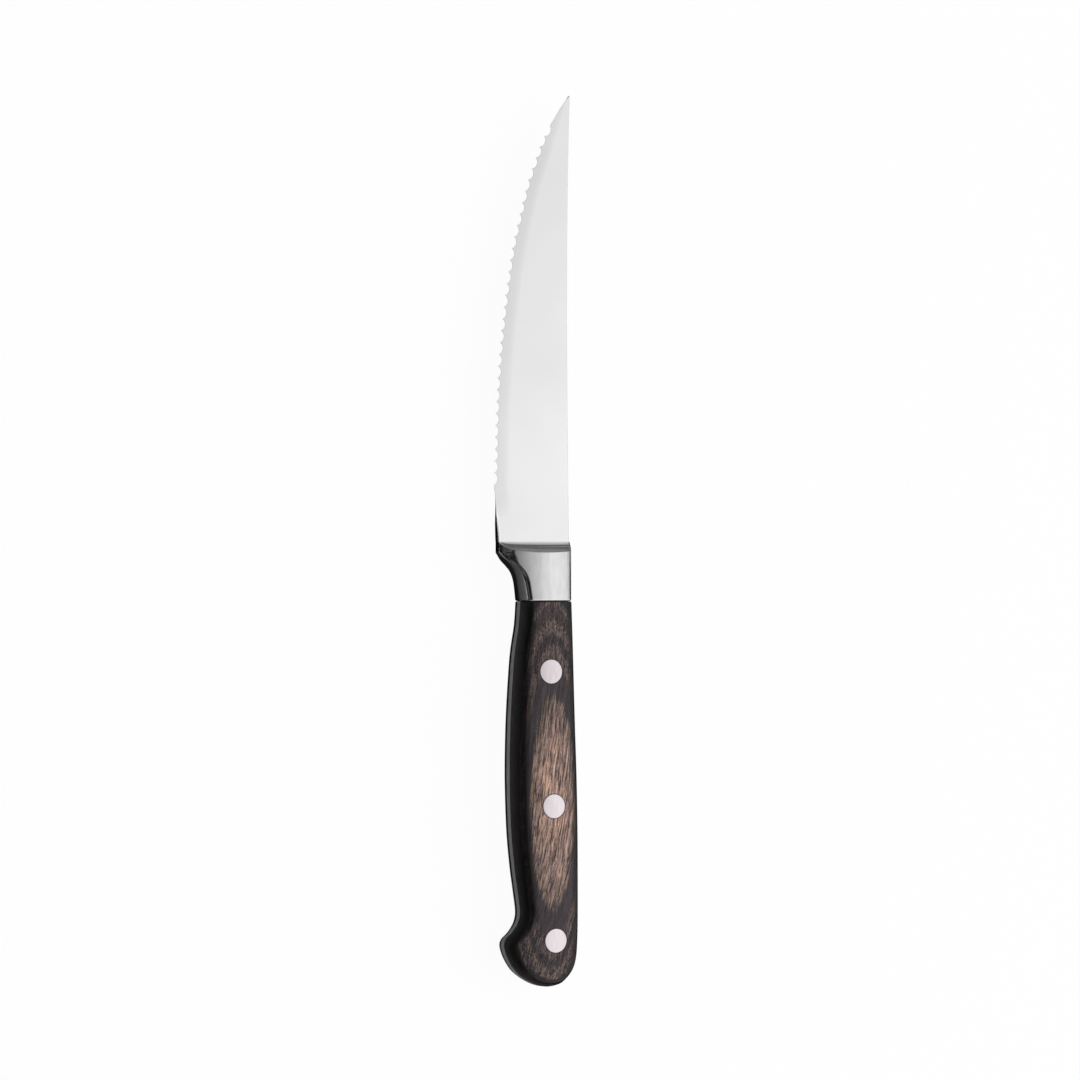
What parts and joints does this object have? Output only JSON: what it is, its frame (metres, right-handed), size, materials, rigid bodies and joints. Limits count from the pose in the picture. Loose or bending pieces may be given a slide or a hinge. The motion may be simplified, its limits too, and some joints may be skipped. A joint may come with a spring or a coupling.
{
  "type": "steak knife",
  "caption": "Serrated steak knife with an integral bolster and full tang, and laminated wood scales held by flush round rivets.",
  "frame": {"origin": "centre of the knife's box on the surface it lies on, so the junction of blade and bolster is at Y = 0", "axes": "+Y towards the point, +X towards the back of the blade, +Z out of the side that faces up when the knife lies down"},
  "size_m": [0.0233, 0.235, 0.0136],
  "materials": {
    "blade_steel": "satin ground stainless steel: fine lengthwise grain on the bolster and tang, cross grain on the blade",
    "laminated_wood": "dyed laminated hardwood, sanded round so that its thin layers show as rings, polished and sealed",
    "rivet_metal": "satin, sanded flush with the wood"
  },
  "bodies": {
    "root": {"forged_blade": "blade_steel", "front_scale": "laminated_wood", "rear_scale": "laminated_wood", "bolster_rivet_sleeve": "rivet_metal", "middle_rivet_sleeve": "rivet_metal", "butt_rivet_sleeve": "rivet_metal", "bolster_rivet_pin": "rivet_metal", "middle_rivet_pin": "rivet_metal", "butt_rivet_pin": "rivet_metal"}
  },
  "joints": []
}
